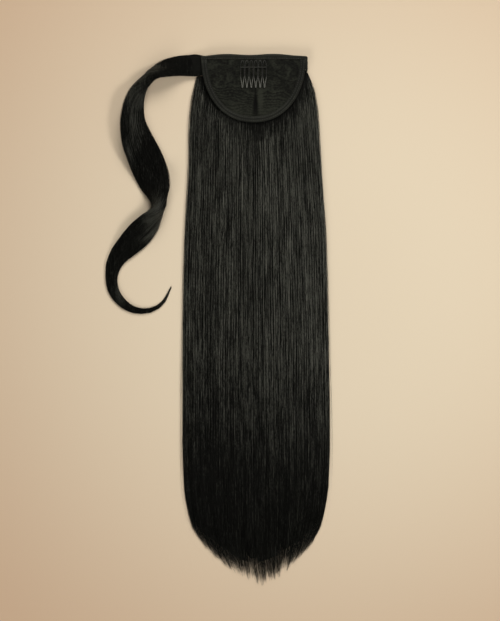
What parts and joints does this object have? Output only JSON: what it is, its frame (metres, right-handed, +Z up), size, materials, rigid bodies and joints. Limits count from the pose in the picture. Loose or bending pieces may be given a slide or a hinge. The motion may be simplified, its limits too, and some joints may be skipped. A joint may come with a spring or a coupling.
{
  "type": "ponytail hairpiece",
  "caption": "Long straight wrap-round ponytail hairpiece: a half-round net pad with taped edges and a wire comb, a thick fall of hair and a free lock that winds round its base.",
  "frame": {"origin": "on the surface that the hairpiece lies on, under the middle of its pad", "axes": "+Z up off that surface, out of the pad's inner side; +X along the pad's straight edge, away from the wrap lock; +Y from the hair's tips towards the straight edge"},
  "size_m": [0.2385, 0.5585, 0.021],
  "materials": {
    "netting": "matt",
    "tape": "matt",
    "comb_wire": "satin",
    "hair": "silky"
  },
  "bodies": {
    "root": {"pad_net": "netting", "straight_band": "tape", "curve_binding": "tape", "comb": "comb_wire", "hair_fall": "hair", "wrap_lock": "hair"}
  },
  "joints": []
}
